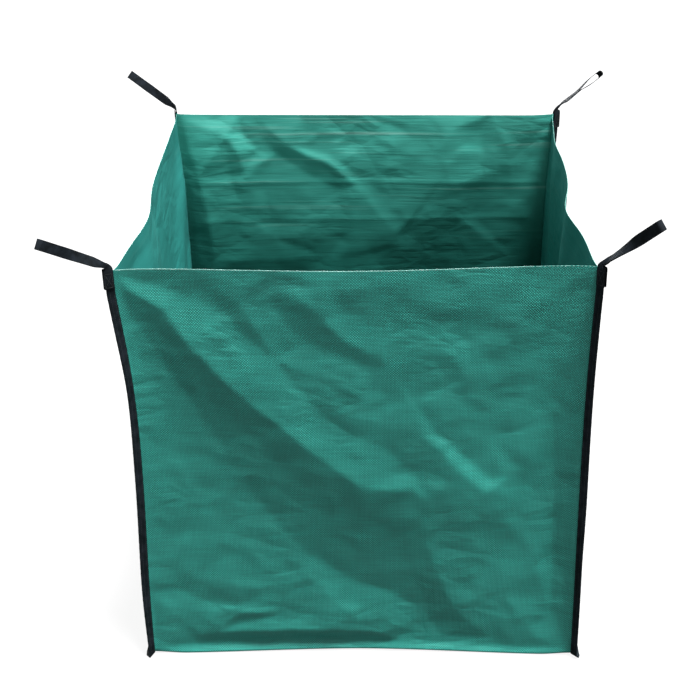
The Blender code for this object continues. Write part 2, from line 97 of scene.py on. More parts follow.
# The creases of the front wall, each a line of spots: how far across and how far up
# it is in percent, and how far it stands out in millimetres. The cloth is nearly
# flat between them.
FRONT_CREASES = {
    "long ridge": (
        (1, 98.5, 0), (2, 96, 3), (9, 91, 7.4), (14, 82, 9.6), (21, 73, 10.6), (27, 67, 10.6),
        (32, 63, 11.3), (38, 57, 11.3), (50, 47, 11.3), (62, 46, 9), (65, 44, 7.4), (66, 39, 5.3),
        (65, 32, 3), (68, 23, 3.6), (71, 14, 3), (76, 8, 1.4), (81, 4, 0),
    ),
    "long valley": (
        (1, 93, -1.4), (2, 89, -3), (8, 76, -6), (13, 67, -6.7), (21, 51, -7.4), (29, 38, -7.4),
        (38, 27, -8.3), (48, 20, -8.3), (58, 16, -9), (66, 9, -9), (69, 4, -6),
    ),
    "crease in the valley's foot": ((58, 33, -2.4), (62, 23, -5.3), (65, 14, -7.4)),
    "middle of the long facet": (
        (7, 87, 0.7), (13, 76, 1.8), (23, 63, 0.7), (31, 53, 1.4), (42, 42, 2.6), (53, 38, 2.4),
    ),
    "shallow valley over the ridge": (
        (13, 95, -2.4), (23, 89, -2.4), (26, 84, -1.4), (32, 79, 0.7), (38, 71, 2.4), (42, 65, 1.4),
        (47, 61, 1.4), (55, 57, 2.4), (62, 51, 2.4),
    ),
    "hooked ridge": ((17, 98, 0), (25, 93, 1.4), (28, 87, 2.4)),
    "upper ridge": ((35, 97, 0), (38, 94, 1.8), (43, 89, 2.6), (47, 84, 3), (52, 81, 2.6), (57, 77, 0.7)),
    "upper valley": ((31, 95, -2.4), (34, 89, -3), (39, 83, -2.6), (46, 80, -1.2), (51, 77, 0)),
    "swell under the upper valley": ((34, 78, 3), (41, 75, 3), (48, 72, 2.4)),
    "level ridge under the rim": ((52, 92, 0.7), (66, 92, 1.2), (78, 90, 0.7)),
    "level valley under the rim": ((52, 87, -1.2), (64, 86, -1.4), (73, 86, -1.4), (78, 86, -0.7)),
    "left nick": ((1, 82, -1.4), (5, 79, -3.6), (7, 77, -4.6)),
    "left valley": ((6, 70, -4.8), (7, 61, -4.6), (6, 53, -1.4)),
    "right arrow ridge": ((65, 60, 6), (72, 51.5, 8.5), (79, 45, 7.5)),
    "right arrow valley": ((67, 61, 2.4), (74, 54, 0.7), (80, 48, 0.7)),
    "small right ridge": ((79, 57, 1.4), (83, 49, 1.8)),
    "small right valley": ((81, 59, -0.6), (86, 50, -0.6)),
    "lower left ridge": ((4, 24, -1.4), (11, 21, -0.7), (20, 20, 0), (29, 18, -0.7)),
    "lower left valley": ((4, 19, -2.4), (13, 14.5, -2.2), (21, 13.5, -1.8), (29, 14, 0)),
    "crease under it": ((21, 8.5, -1.4), (30, 10, 0)),
    "corner ridge": ((3, 14, 1.4), (7, 9, 1.8), (12, 5, 1.4)),
    "pale ridge at the foot": ((11, 11.5, 1.8), (20, 11.3, 2.6), (29, 11.8, 1.8)),
    "ridge under the long valley": ((38, 21.5, -2.6), (42, 16.5, 1.8), (47, 10.5, 5.5)),
    "short ridge in the middle": ((50, 70, 2.2), (51.5, 64, 3.4), (52, 60, 1.8)),
    "swell over the floor": ((16, 5.6, 2.5), (27, 6, 5.5), (43, 6, 8), (54, 5, 4)),
    "nip over the floor": ((10, 2.8, -2), (28, 3.2, -3.6), (45, 3, -2.6), (58, 2.4, -2)),
    "lower right ridge": ((82, 27, 0.2), (84, 16, 3), (90, 6, 3)),
    "lower right valley": ((91, 27, -2.4), (93, 16, -2.4)),
    "right edge valley": ((91, 84, -3), (93.5, 66, -6), (94.5, 45, -11), (95, 25, -14), (95, 12, -7)),
    "rim lip": ((46, 96.5, 2), (54, 96.5, 2)),
    "hollow under the lip": ((47.5, 90.5, -1.4), (51.5, 90, -1.4)),
    "upright crease on the right": ((83, 94, 0), (84, 90, 1.2), (84, 84, 0.2)),
    "faint crease on the right": ((76, 79, 0.6), (78, 69, -0.6)),
}
# The same for the back wall, where standing out is away from the inside
BACK_CREASES = {
    "slanting ridge": (
        (23, 98, -0.7), (25, 96, -2.2), (29, 92, -3), (34, 89, -3.4), (39, 87, -4.2), (42, 85, -4),
        (47, 80, -1),
    ),
    "slanting valley": ((20, 98, 0), (22, 95, 1.4), (26, 89, 2.2), (36, 82, 2.2), (43, 79, 1.4)),
    "curved nick": ((35, 90, 0), (40, 89, 0), (43, 87, 0.7), (46, 84, 1.2), (49, 81, 0.7)),
    "left corner facet": ((2, 95, -4), (4.5, 83, -11), (6.5, 70, -15), (7, 58, -14)),
    "pale corner fold": ((13, 94.5, -10), (16, 90, -9), (17, 84, -5)),
    "upper left valley": ((17, 96, 1.4), (19, 93, 2.2), (21, 90, 2.2)),
    "left ridge": ((13, 83, -2.2), (15, 77, -2.9), (17, 72, -1.4)),
    "left valley": ((22, 79, 1.4), (24, 72, 1.4)),
    "level ridge": ((23, 65, -2.9), (29, 65, -3.6), (35, 65, -2.2)),
    "level valley": ((22, 69, 0.7), (29, 69, 0.7), (36, 69, 0)),
    "short ridge": ((61, 68, -2.2), (59, 66, -2.9), (57, 63, -2.2)),
    "short valley": ((63, 68, 0.7), (61, 65, 1.2), (60, 62, 0.7)),
    "lower ridge": ((46, 63, -1.7), (44, 61, -2.2), (42, 58, -1.4)),
    "lower valley": ((43, 64, 0.9), (41, 61, 0.9), (39, 59, 0.9)),
    "right ridge": ((73, 96, -2.2), (72, 90, -2.9), (72, 84, -2.2)),
    "right valley": ((81, 95, 2.2), (82, 88, 2.9), (82, 82, 1.4)),
    "far right ridge": ((89, 90, -1.4), (90, 82, -2.2), (88, 75, -2.2)),
    "lower right ridge": ((77, 76, -2.2), (76, 71, -1.4)),
    "lower right valley": ((81, 77, 1.2), (80, 71, 1.2)),
    "rim swell": ((54, 93, -2.2), (65, 94, -1.4)),
}
# Wide folds: kind, start and end as shares across and up, half width at each end,
# height and how far the middle bows up. A ridge stands out, and a facet leans and
# dies away over its flanks, this many half widths off.
FACET_FLANK = 3.2
BACK_FOLDS = (
    ("facet", (0.98, 0.95), (0.45, 0.25), (0.04, 0.1), -0.011, 0.03),
    ("ridge", (0.15, 0.35), (0.55, 0.15), (0.08, 0.08), 0.006, 0.0),
    ("ridge", (0.00, 0.812), (1.00, 0.806), (0.006, 0.006), -0.001, 0.0),
    ("ridge", (0.05, 0.7), (0.95, 0.704), (0.006, 0.006), -0.001, 0.0),
)
# Small crumples: the spacing of the facets in metres, and how far they stand out at
# most in millimetres
WALL_CRUMPLES = ((0.075, 1.6), (0.034, 1.0))
BASE_CRUMPLES = ((0.10, 4.0),)


def smooth(value):
    """Ease from 0 to 1."""
    value = np.clip(value, 0.0, 1.0)
    return value * value * (3 - 2 * value)


def blend_between(pairs, share):
    """Read a smooth curve through (share, value) pairs."""
    share = np.asarray(share, dtype=float)
    result = np.full(share.shape, float(pairs[0][1]))
    for (low, low_value), (high, high_value) in zip(pairs, pairs[1:]):
        step = low_value + (high_value - low_value) * smooth((share - low) / (high - low))
        result = np.where(share > low, step, result)
    return result


def unit(vectors):
    """Scale vectors to length 1."""
    return vectors / np.linalg.norm(vectors, axis=-1, keepdims=True)


def corner_line(name, heights):
    """Points of a corner's seam at some heights above the floor."""
    corner = CORNERS[name]
    share = heights / BAG_HEIGHT
    top_of_bow = 1 - LEG_ZONE / BAG_HEIGHT
    bow = np.clip(share / top_of_bow, 0.0, 1.0) ** BOW_SKEW
    inward = corner["foot_in"] * (1 - share) + corner["pull_in"] * np.sin(np.pi * bow)
    lift = corner["top_rise"] * smooth((share - TOP_RISE_FROM) / (top_of_bow - TOP_RISE_FROM))
    x = corner["side"] * (BAG_WIDTH / 2 - inward)
    y = np.full_like(heights, corner["end"] * BAG_DEPTH / 2)
    return np.stack([x, y, heights + lift], axis=-1)


def corner_fin(name, heights):
    """The level way that the fin points at some heights."""
    corner = CORNERS[name]
    turn = np.radians(blend_between(corner["fin_turns"], heights / BAG_HEIGHT))
    x = corner["side"] * np.cos(turn)
    y = corner["end"] * np.sin(turn)
    return np.stack([x, y, np.zeros_like(heights)], axis=-1)


def base_fin(side):
    """The way the fin points along the floor."""
    sine = (SEAM_LIFT - TAPE_OUTER_FACE - LAYER_GAP) / FIN_REACH
    return np.array([side * math.sqrt(1 - sine * sine), 0.0, -sine])


def floor_turn(name, side):
    """The three points where the seam turns under, with the fin's pointed ear."""
    corner = CORNERS[name]
    foot = corner_line(name, np.array([SEAM_LIFT + FOLD_RADIUS]))[0]
    turn = math.radians(corner["ear_turn"])
    level = math.sqrt(1 - EAR_DIP * EAR_DIP)
    ear = np.array([
        corner["side"] * math.cos(turn) * level, corner["end"] * math.sin(turn) * level, -EAR_DIP,
    ])
    upright = corner_fin(name, np.array([0.0]))[0]
    over_ear, under_ear = EAR_SHOULDERS
    fins = [unit(upright + ear) * over_ear, ear * EAR_REACH, unit(ear + base_fin(side)) * under_ear]
    points = []
    for angle in (math.pi / 8, math.pi / 4, math.pi * 3 / 8):
        inset = FOLD_RADIUS * (1 - math.cos(angle))
        height = SEAM_LIFT + FOLD_RADIUS * (1 - math.sin(angle))
        points.append([foot[0], foot[1] - corner["end"] * inset, height])
    return np.array(points), np.array(fins)


def seam_line(side, wall_rows, base_rows):
    """Points and fin directions of a side seam: down the front, along the floor and up."""
    front, back = ("front_left", "back_left") if side < 0 else ("front_right", "back_right")
    heights = np.linspace(BAG_HEIGHT, SEAM_LIFT + FOLD_RADIUS, wall_rows)
    front_points, back_points = corner_line(front, heights), corner_line(back, heights)
    front_turn, front_ear = floor_turn(front, side)
    back_turn, back_ear = floor_turn(back, side)
    share = np.linspace(0.0, 1.0, base_rows)
    base_points = np.empty((base_rows, 3))
    base_points[:, 0] = front_points[-1, 0] + (back_points[-1, 0] - front_points[-1, 0]) * share
    base_points[:, 1] = (BAG_DEPTH / 2 - FOLD_RADIUS) * (2 * share - 1)
    base_points[:, 2] = SEAM_LIFT
    base_fins = np.tile(base_fin(side), (base_rows, 1))
    points = np.concatenate([front_points, front_turn, base_points, back_turn[::-1], back_points[::-1]])
    fins = np.concatenate([
        corner_fin(front, heights), front_ear, base_fins, back_ear[::-1], corner_fin(back, heights)[::-1],
    ])
    return points, fins


def seam_normal(points, fins, side):
    """Square to the fin, on the long sheet's side of it."""
    tangent = np.gradient(points, axis=0)
    return unit(np.cross(unit(fins), unit(tangent))) * -side


def fold_relief(folds, across, up, width, height):
    """How far a wall stands out, from the wide folds in it."""
    x, z = np.broadcast_arrays(across * width, up * height)
    total = np.zeros(x.shape)
    for kind, start, end, half_widths, size, bow in folds:
        start = np.array([start[0] * width, start[1] * height])
        end = np.array([end[0] * width, end[1] * height])
        length = np.linalg.norm(end - start)
        along = (end - start) / length
        square = np.array([-along[1], along[0]])
        if square[1] < 0:
            square = -square
        run = (x - start[0]) * along[0] + (z - start[1]) * along[1]
        share = np.clip(run / length, 0.0, 1.0)
        half_width = half_widths[0] + (half_widths[1] - half_widths[0]) * share
        off = (x - start[0]) * square[0] + (z - start[1]) * square[1] - bow * np.sin(np.pi * share)
        off = off / half_width
        beyond = np.maximum(np.maximum(-run, run - length), 0.0)
        fade = np.exp(-(beyond / half_width) ** 2)
        if kind == "ridge":
            total += size * fade * np.exp(-off * off)
        else:
            lean = off / (1 + off ** 4) ** 0.25 * np.exp(-(off / FACET_FLANK) ** 2)
            total += size * fade * lean * half_width / half_widths[1]
    return total


def facets_between(creases, across, up, width, height):
    """Flat facets stretched between creases, from an outline that stays put.

    The lines of the creases mustn't cross: a crossing would have no height of its own.
    """
    outline_steps = 6
    same_spot = 1e-5
    tiny = 1e-9
    spots, edges = [], []
    for crease in creases:
        for step, (share_across, share_up, out) in enumerate(crease):
            if step:
                edges.append((len(spots) - 1, len(spots)))
            spots.append((share_across * width, share_up * height, out / 1000))
    for step in range(outline_steps):
        share = step / outline_steps
        for a, u in ((share, 0), (1, share), (1 - share, 1), (0, 1 - share)):
            spots.append((a * width, u * height, 0.0))
    flat = [Vector(spot[:2]) for spot in spots]
    places, _, facets, origins, _, _ = delaunay_2d_cdt(flat, edges, [], 0, same_spot)
    outs = [spots[origin[0]][2] for origin in origins]
    x, z = np.broadcast_arrays(across * width, up * height)
    total = np.zeros(x.shape)
    for facet in facets:
        (ax, az), (bx, bz), (cx, cz) = [places[index] for index in facet]
        first_out, second_out, third_out = [outs[index] for index in facet]
        area = (bx - ax) * (cz - az) - (cx - ax) * (bz - az)
        if abs(area) < tiny:
            continue
        second = ((x - ax) * (cz - az) - (cx - ax) * (z - az)) / area
        third = ((bx - ax) * (z - az) - (x - ax) * (bz - az)) / area
        within = (second >= -tiny) & (third >= -tiny) & (second + third <= 1 + tiny)
        out = first_out + (second_out - first_out) * second + (third_out - first_out) * third
        total = np.where(within, out, total)
    return total


def crumple(across, up, width, height, sizes, seed):
    """Small facets left by folding and packing, of one or more sizes."""
    stray = 0.45
    total = np.zeros(np.broadcast_shapes(np.shape(across), np.shape(up)))
    for step, (spacing, size) in enumerate(sizes):
        chance = np.random.default_rng(seed + step)
        wide, high = int(width / spacing), int(height / spacing)
        spots = []
        for column in range(1, wide):
            for row in range(1, high):
                share_across = (column + chance.uniform(-stray, stray)) / wide
                share_up = (row + chance.uniform(-stray, stray)) / high
                spots.append([(share_across, share_up, chance.uniform(-size, size))])
        total += facets_between(spots, across, up, width, height)
    return total


def soften(grid, passes):
    """Round the creases of a grid of heights a little."""
    for _ in range(passes):
        wide = np.pad(grid, 1, mode="edge")
        grid = (wide[:-2, 1:-1] + 2 * wide[1:-1, 1:-1] + wide[2:, 1:-1]) / 4
        wide = np.pad(grid, 1, mode="edge")
        grid = (wide[1:-1, :-2] + 2 * wide[1:-1, 1:-1] + wide[1:-1, 2:]) / 4
    return grid


def edge_dish(near, up, height):
    """The wall falls back from its seams, where it turns out into the fin."""
    return -WALL_DISH * (1 - np.exp(-near / DISH_WIDTH)) * smooth(up * height / EDGE_BLEND)


def put_in_scene(name, data):
    """Make an object of a mesh, a lamp or a camera."""
    thing = bpy.data.objects.new(name, data)
    bpy.context.scene.collection.objects.link(thing)
    return thing


def cloth_shell(name, points, quads, thickness, outward, places, rims, materials):
    """Give a sheet of quads two faces and closed edges.

    The outside face and the edges have the first material, the inside face the second.
    """
    points = np.asarray(points, dtype=float)
    quads = np.asarray(quads, dtype=int)
    corners = points[quads]
    flat = np.cross(corners[:, 2] - corners[:, 0], corners[:, 3] - corners[:, 1])
    if np.sum(flat * outward) < 0:
        quads = quads[:, ::-1]
        flat = -flat
    normals = np.zeros_like(points)
    for column in range(4):
        np.add.at(normals, quads[:, column], flat)
    normals = unit(normals)
    count = len(points)
    starts = quads.ravel()
    ends = np.roll(quads, -1, axis=1).ravel()
    directed = starts * count + ends
    lone = ~np.isin(directed, ends * count + starts)
    edge_quads = np.stack([ends[lone], starts[lone], starts[lone] + count, ends[lone] + count], axis=1)
    shell = np.concatenate([quads + count, quads[:, ::-1], edge_quads])
    mesh = bpy.data.meshes.new(name)
    mesh.from_pydata(np.concatenate([points, points + normals * thickness]).tolist(), [], shell.tolist())
    slots = np.concatenate([np.zeros(len(quads)), np.ones(len(quads)), np.zeros(len(edge_quads))])
    mesh.polygons.foreach_set("material_index", slots.astype(int))
    corner_verts = shell.ravel() % count
    for layer_name, values in (("weave", places), ("rim", rims)):
        layer = mesh.uv_layers.new(name=layer_name)
        layer.data.foreach_set("uv", np.asarray(values, dtype=float)[corner_verts].ravel())
    mesh.shade_smooth()
    mesh.set_sharp_from_angle(angle=SHARP_CREASE)
    for material in materials:
        mesh.materials.append(material)
    mesh.update()
    return put_in_scene(name, mesh)


def grid_quads(rows, columns):
    """Quads of a plain grid of rows by columns of points."""
    first = np.arange(rows - 1)[:, None] * columns + np.arange(columns - 1)[None, :]
    first = first.ravel()
    return np.stack([first, first + 1, first + columns + 1, first + columns], axis=1)


def length_along(line):
    """How far along a line each of its points is."""
    return np.concatenate([[0.0], np.cumsum(np.linalg.norm(np.diff(line, axis=0), axis=1))])


def grid_places(across, along):
    """Where the points of a grid are on the flat cloth."""
    return np.stack(np.broadcast_arrays(across[None, :], along[:, None]), axis=-1).reshape(-1, 2)


def fin_columns(seam, fins, side, steps):
    """Columns of cloth turned out along a seam, at some steps of the fin's cloth."""
    shift = seam_normal(seam, fins, side) * (LAYER_GAP / 2)
    return np.stack([seam + fins * FIN_CLOTH * step + shift for step in steps], axis=1)


WALL_ROWS = 146
BASE_ROWS = 22
SHEET_COLUMNS = 139

left_seam, left_fins = seam_line(-1, WALL_ROWS, BASE_ROWS)
right_seam, right_fins = seam_line(1, WALL_ROWS, BASE_ROWS)
rows = len(left_seam)
share = np.linspace(0.0, 1.0, SHEET_COLUMNS)[None, :]
sheet = left_seam[:, None, :] * (1 - share[..., None]) + right_seam[:, None, :] * share[..., None]
end = np.zeros((rows, 1))
end[:WALL_ROWS] = -1
end[-WALL_ROWS:] = 1
is_wall = end != 0

near_seam = np.minimum(share, 1 - share) * (right_seam[:, None, 0] - left_seam[:, None, 0])
middle = smooth(near_seam / (BAG_WIDTH / 2))
up = np.maximum(sheet[..., 2] - SEAM_LIFT, 0.0) / (BAG_HEIGHT - SEAM_LIFT)
off_seam = smooth(near_seam / FLOOR_BLEND)
drop = (SEAM_LIFT - CLOTH_THICKNESS - FOLD_ARCH * middle) * off_seam
edge_fade = smooth(near_seam / EDGE_BLEND) * smooth(up * BAG_HEIGHT / EDGE_BLEND)
relief = np.zeros(edge_fade.shape)
wall_size = (BAG_WIDTH, BAG_HEIGHT)
for wall, creases, folds, seed in (
    (slice(0, WALL_ROWS), FRONT_CREASES, (), 3),
    (slice(-WALL_ROWS, None), BACK_CREASES, BACK_FOLDS, 12),
):
    lines = [[(across / 100, over / 100, out) for across, over, out in line] for line in creases.values()]
    pressed = facets_between(lines, share, up[wall], *wall_size)
    pressed = pressed + crumple(share, up[wall], *wall_size, WALL_CRUMPLES, seed)
    relief[wall] = pressed + fold_relief(folds, share, up[wall], *wall_size)
outward = relief * edge_fade + edge_dish(near_seam, up, BAG_HEIGHT)
outward = outward + RIM_BELLY * middle * smooth(up)
outward = outward - FOLD_RETREAT * middle * np.exp(-up * BAG_HEIGHT / RETREAT_HEIGHT)
off_fold = smooth((BAG_DEPTH / 2 - np.abs(sheet[..., 1])) / FLOOR_BLEND)
arch = FOLD_ARCH * middle * off_seam * off_fold
retreat = FOLD_RETREAT * middle * (1 - off_fold)
base_up = 0.5 + sheet[..., 1] / BAG_DEPTH
base_swell = np.abs(crumple(share, base_up, BAG_WIDTH, BAG_DEPTH, BASE_CRUMPLES, seed=31))
base_swell = base_swell * off_seam * off_fold
wall_drop = drop * smooth(1 - up * BAG_HEIGHT / FLOOR_BLEND)
wall_drop = wall_drop + RIM_SAG * middle * smooth((up - SAG_FROM) / (1 - SAG_FROM))
sheet[..., 1] += np.where(is_wall, end * outward, -np.sign(sheet[..., 1]) * retreat)
sheet[..., 2] -= np.where(is_wall, wall_drop, drop + arch - base_swell)

fin_steps = np.array([0.0, 0.5, 1.0])
left_columns = fin_columns(left_seam, left_fins, -1, fin_steps[::-1])
right_columns = fin_columns(right_seam, right_fins, 1, fin_steps)
sheet = np.concatenate([left_columns, sheet[:, 1:-1], right_columns], axis=1)

run = length_along(sheet[:, sheet.shape[1] // 2])
from_rim = np.minimum(run, run[-1] - run)
fin_run = FIN_CLOTH * fin_steps
cross = np.concatenate([-fin_run[::-1], share[0, 1:-1] * BAG_WIDTH, BAG_WIDTH + fin_run])
sheet_quads = grid_quads(rows, sheet.shape[1])
front_facing = np.zeros((len(sheet_quads), 3))
front_facing[:WALL_ROWS * (sheet.shape[1] - 1), 1] = -1


class Nodes:
    """The nodes of one material or world, with short ways to add and join them."""

    def __init__(self, owner):
        owner.use_nodes = True
        self.tree = owner.node_tree

    def fill(self, socket, value):
        """Join a socket to another node's output, or set it to a plain value."""
        if isinstance(value, bpy.types.NodeSocket):
            self.tree.links.new(value, socket)
        else:
            socket.default_value = value

    def add(self, kind, inputs=(), **settings):
        """Add a node and fill its inputs, given by name or number."""
        node = self.tree.nodes.new(kind)
        for key, value in settings.items():
            setattr(node, key, value)
        for key, value in dict(inputs).items():
            self.fill(node.inputs[key], value)
        return node

    def place(self, layer):
        """Where a point lies on the cloth, in one of its flat layers."""
        return self.add("ShaderNodeUVMap", uv_map=layer).outputs[0]

    def parts(self, place):
        """How far across and how far along a place is."""
        return self.add("ShaderNodeSeparateXYZ", {0: place}).outputs[:2]

    def math(self, operation, first, second=0.0, third=0.0):
        """One step of arithmetic."""
        return self.add("ShaderNodeMath", {0: first, 1: second, 2: third}, operation=operation).outputs[0]

    def times(self, first, second):
        """One value times another."""
        return self.math("MULTIPLY", first, second)

    def weigh(self, start, *shares):
        """A start value plus a share of each of some others."""
        for value, share in shares:
            start = self.math("MULTIPLY_ADD", value, share, start)
        return start

    def ripple(self, value, rate):
        """Round humps side by side."""
        return self.math("ABSOLUTE", self.math("SINE", self.times(value, rate)))

    def ease(self, value, start, end):
        """Ease from 0 at the start to 1 at the end."""
        inputs = {0: value, 1: start, 2: end}
        return self.add("ShaderNodeMapRange", inputs, interpolation_type="SMOOTHSTEP").outputs[0]

    def noise(self, place, scale, detail, **more):
        """Cloudy noise."""
        inputs = {"Vector": place, "Scale": scale, "Detail": detail, **more}
        return self.add("ShaderNodeTexNoise", inputs).outputs[0]

    def streaks(self, place, across, along, detail):
        """Noise drawn out into streaks, finer one way than the other."""
        drawn_out = self.add("ShaderNodeMapping", {"Vector": place, "Scale": (across, along, 1.0)})
        return self.noise(drawn_out.outputs[0], 1.0, detail)

    def patches(self, place, scale, least):
        """How much something shows: fully in some patches, and hardly in others."""
        patch = self.noise(place, scale, detail=2.0)
        return self.math("MAXIMUM", self.weigh(-1.1, (patch, 3.4)), least)

    def mix(self, share, first, second, blend="MIX"):
        """Mix two colours."""
        inputs = {0: share, 6: first, 7: second}
        return self.add("ShaderNodeMix", inputs, data_type="RGBA", blend_type=blend).outputs[2]

    def shade(self, colour, tone):
        """Make a colour lighter or darker."""
        grey = self.add("ShaderNodeCombineColor", {0: tone, 1: tone, 2: tone}).outputs[0]
        return self.mix(1.0, colour, grey, "MULTIPLY")

    def bump(self, height, strength, distance, **more):
        """Relief that only the light shows."""
        inputs = {"Height": height, "Strength": strength, "Distance": distance, **more}
        return self.add("ShaderNodeBump", inputs).outputs[0]

    def surface(self, colour, relief, roughness, gloss):
        """Finish the material's own shader."""
        shader = self.tree.nodes["Principled BSDF"]
        self.fill(shader.inputs["Base Color"], colour)
        self.fill(shader.inputs["Normal"], relief)
        self.fill(shader.inputs["Roughness"], roughness)
        self.fill(shader.inputs["Specular IOR Level"], gloss)


# The finest creases: how they slant and stretch, how many large and small facets
# there are in a metre, and how deep they are at most
CREASE_SLANT = math.radians(38)
CREASE_STRETCH = (0.75, 1.5, 1.0)
LARGE_FACETS = 9.0
SMALL_FACETS = 25.0
CREASE_DEPTH = 0.0085


def creased_bump(nodes, place, depth):
    """Small flat facets that meet in sharp creases, in some places and not in others."""
    slanted = nodes.add("ShaderNodeMapping", {
        "Vector": place, "Rotation": (0.0, 0.0, CREASE_SLANT), "Scale": CREASE_STRETCH,
    }).outputs[0]
    large, small = [
        nodes.add("ShaderNodeTexVoronoi", {"Vector": slanted, "Scale": scale}, feature="DISTANCE_TO_EDGE")
        for scale in (LARGE_FACETS, SMALL_FACETS)
    ]
    facets = nodes.weigh(large.outputs["Distance"], (small.outputs["Distance"], 0.30))
    pressed = nodes.ease(nodes.noise(place, scale=5.5, detail=1.0), start=0.44, end=0.58)
    waves = nodes.noise(slanted, LARGE_FACETS, detail=0.0, Distortion=0.2)
    waves = nodes.math("ABSOLUTE", nodes.math("SUBTRACT", waves, 0.5))
    height = nodes.weigh(nodes.times(waves, 0.6), (nodes.times(facets, pressed), 1.5))
    return nodes.bump(height, 1.0, CREASE_DEPTH * depth)


CLOTH_GREEN = (0.015, 0.180, 0.147, 1.0)
SELVEDGE_GREEN = (0.13, 0.33, 0.29, 1.0)
WOVEN_TAPE = 0.0026
WEAVE_DEPTH = 0.0006
SELVEDGE_DEPTH = 0.0016
# The selvedge thread ends this far from the middle, as a share of the width. Beyond
# another share across it is broken, once in so many metres.
SELVEDGE_ENDS = 0.498
SELVEDGE_WHOLE_TO = 0.87
SELVEDGE_BREAKS = 0.0075


def bare_weave(name, colour, selvedge):
    """Flat plastic tapes woven over and under, as the outside of the cloth shows."""
    material = bpy.data.materials.new(name)
    nodes = Nodes(material)
    place = nodes.place("weave")
    across, along = nodes.parts(place)
    warp = nodes.math("DIVIDE", across, WOVEN_TAPE)
    weft = nodes.math("DIVIDE", along, WOVEN_TAPE)
    both = nodes.math("ADD", nodes.math("FLOOR", warp), nodes.math("FLOOR", weft))
    over = nodes.math("MODULO", nodes.math("ABSOLUTE", both), 2.0)
    crown = nodes.times(nodes.ripple(warp, math.pi), nodes.ripple(weft, math.pi))
    height = nodes.times(crown, nodes.weigh(0.3, (over, 0.7)))

    # Some tapes are paler than others. The tapes lying over and under differ by a
    # painted sheen, which shows more in some patches.
    weft_streak = nodes.streaks(place, across=14.0, along=390.0, detail=2.0)
    warp_streak = nodes.streaks(place, across=390.0, along=14.0, detail=2.0)
    cloud = nodes.noise(place, scale=5.0, detail=3.0)
    shown = nodes.patches(place, scale=16.0, least=0.15)
    painted_sheen_checker = nodes.times(nodes.math("SUBTRACT", over, 0.5), shown)
    tone = nodes.weigh(0.44, (weft_streak, 0.62), (warp_streak, 0.34), (cloud, 0.16), (painted_sheen_checker, 0.85))
    # Painted shade darkens the gaps between the tapes, and their crowns are lighter
    tone = nodes.times(tone, nodes.weigh(0.85, (crown, 0.36)))

    # A pale thread runs along the rim, but not over the fins
    rim_across, below_rim = nodes.parts(nodes.place("rim"))
    at_rim = nodes.math("LESS_THAN", below_rim, SELVEDGE_DEPTH)
    off_middle = nodes.math("ABSOLUTE", nodes.math("SUBTRACT", rim_across, 0.5))
    at_rim = nodes.times(at_rim, nodes.math("LESS_THAN", off_middle, SELVEDGE_ENDS))
    whole = nodes.math("LESS_THAN", rim_across, SELVEDGE_WHOLE_TO)
    wave = nodes.math("SINE", nodes.times(across, 2 * math.pi / SELVEDGE_BREAKS))
    dashes = nodes.math("GREATER_THAN", wave, 0.1)
    at_rim = nodes.times(at_rim, nodes.math("MAXIMUM", whole, dashes))

    relief = nodes.bump(height, 0.9, WEAVE_DEPTH, Normal=creased_bump(nodes, place, depth=0.5))
    roughness = nodes.weigh(0.34, (cloud, 0.20))
    nodes.surface(nodes.mix(at_rim, nodes.shade(colour, tone), selvedge), relief, roughness, gloss=0.32)
    return material


COATED_GREEN = (0.020, 0.185, 0.150, 1.0)
# The colour of the painted sheen near the rim inside
PAINTED_SHEEN_GREEN = (0.34, 0.56, 0.50, 1.0)
STREAK_DEPTH = 0.0012
# How far below the rim the painted shade is full and the streaks are faintest
PAINTED_SHADE_DEPTH = 0.40


def coated_inside(name, colour, streaks, painted_light):
    """The thin coating inside, with the level streaks of the coating machine.

    It has a painted pale sheen near the rim, and painted shade makes it darker lower down.
    """
    material = bpy.data.materials.new(name)
    nodes = Nodes(material)
    place = nodes.place("weave")
    low = nodes.ease(nodes.parts(nodes.place("rim"))[1], 0.0, PAINTED_SHADE_DEPTH)
    high = nodes.math("SUBTRACT", 1.0, low)

    # Broad bands, short dashes and fine threads, stronger in some patches
    band = nodes.streaks(place, across=1.6, along=70.0, detail=3.0)
    dash = nodes.streaks(place, across=9.0, along=170.0, detail=2.0)
    thread = nodes.streaks(place, across=16.0, along=390.0, detail=1.0)
    streak = nodes.weigh(-0.75, (band, 0.90), (dash, 0.40), (thread, 0.30))
    streak = nodes.times(streak, nodes.patches(place, scale=4.0, least=0.12))
    streak = nodes.times(streak, nodes.weigh(1.0, (low, -0.60)))

    cloud = nodes.noise(place, scale=6.0, detail=3.0)
    tone = nodes.math("MAXIMUM", nodes.weigh(0.85, (streak, streaks), (cloud, 0.30)), 0.35)
    # Painted shade: lighter near the rim and darker lower down
    tone = nodes.times(tone, nodes.weigh(1.0 + 0.45 * painted_light, (low, -painted_light)))
    # Painted sheen: a pale colour along the broad bands near the rim
    painted_sheen = nodes.times(high, nodes.math("MAXIMUM", nodes.weigh(-1.36, (band, 2.4)), 0.05))
    painted_sheen = nodes.times(painted_sheen, 0.9 * painted_light)
    height = nodes.weigh(band, (dash, 0.5), (thread, 0.25))
    creases = creased_bump(nodes, place, depth=0.30)
    relief = nodes.bump(height, 0.5, STREAK_DEPTH * streaks, Normal=creases)
    roughness = nodes.weigh(0.50, (band, -0.25))
    nodes.surface(nodes.mix(painted_sheen, nodes.shade(colour, tone), PAINTED_SHEEN_GREEN), relief, roughness, gloss=0.30)
    return material


outside_cloth = bare_weave("teal_woven_outside", CLOTH_GREEN, SELVEDGE_GREEN)
inside_cloth = coated_inside("teal_coated_inside", COATED_GREEN, streaks=1.0, painted_light=1.0)

long_sheet = cloth_shell(
    "front_base_back_cloth", sheet.reshape(-1, 3), sheet_quads, CLOTH_THICKNESS, front_facing,
    grid_places(cross, run), grid_places(cross / BAG_WIDTH, from_rim), (outside_cloth, inside_cloth),
)
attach(long_sheet, "root")
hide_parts("front_base_back_sheet")


